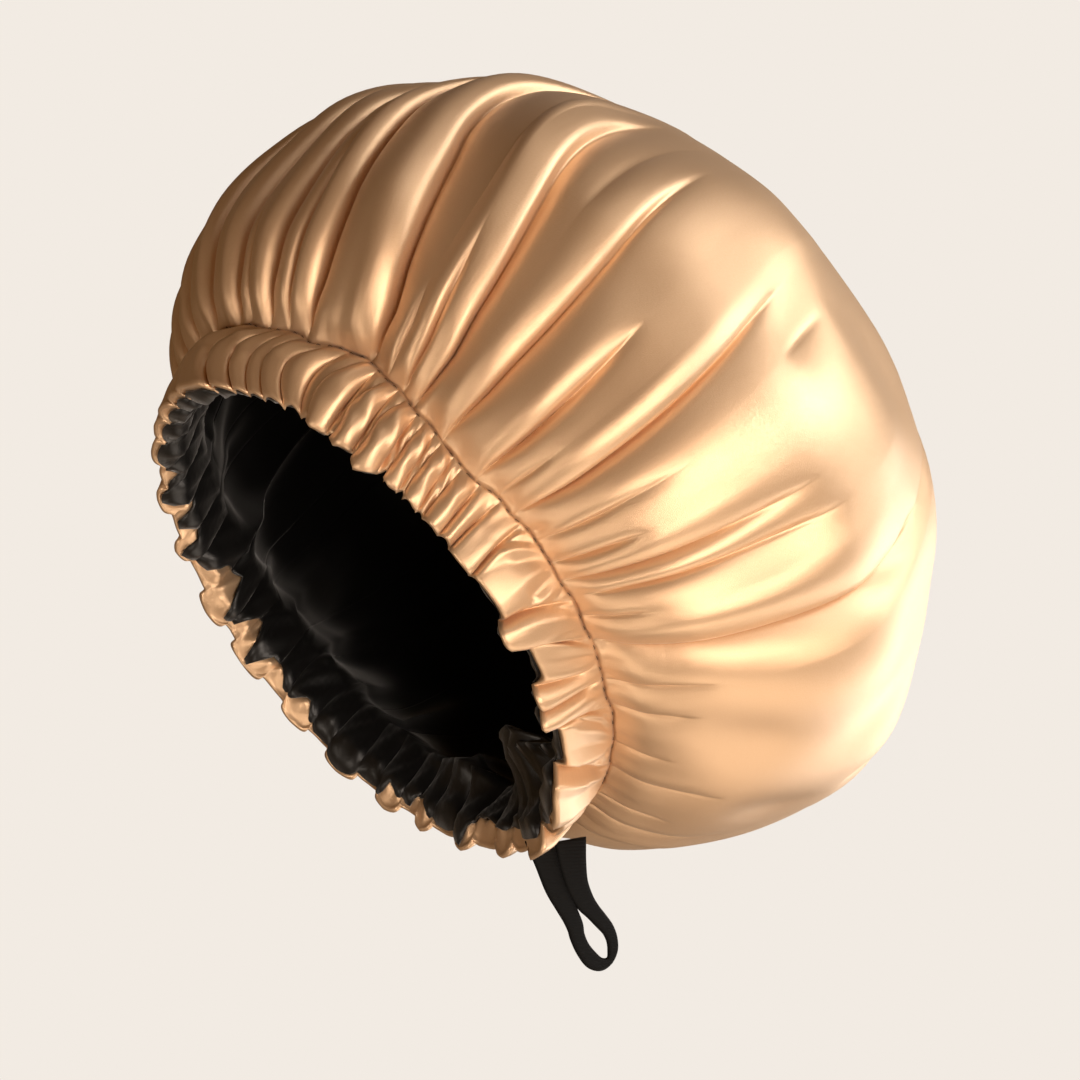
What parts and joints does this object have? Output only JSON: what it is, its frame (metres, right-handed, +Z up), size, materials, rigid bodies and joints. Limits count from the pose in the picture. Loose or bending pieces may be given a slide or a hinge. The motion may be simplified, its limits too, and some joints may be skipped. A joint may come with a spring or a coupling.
{
  "type": "sleep bonnet",
  "caption": "Puffed satin sleep bonnet with a gathered elastic casing, a dark lining and a folded strap that ends in a loop at the nape.",
  "frame": {"origin": "centre of the head opening, in the plane of the hem", "axes": "+Z up as the bonnet is worn, the wearer faces -Y, +X is the side of the head that the strap hangs on"},
  "size_m": [0.29, 0.2584, 0.3071],
  "materials": {
    "gold_satin": "champagne gold polyester satin, glossy with a fine weave",
    "black_satin": "black satin, soft gloss",
    "black_elastic": "matt woven elastic tape"
  },
  "bodies": {
    "root": {"crown": "gold_satin", "casing_ruffle": "gold_satin", "lining": "black_satin", "elastic_band": "black_elastic", "strap_loop": "black_elastic"}
  },
  "joints": []
}
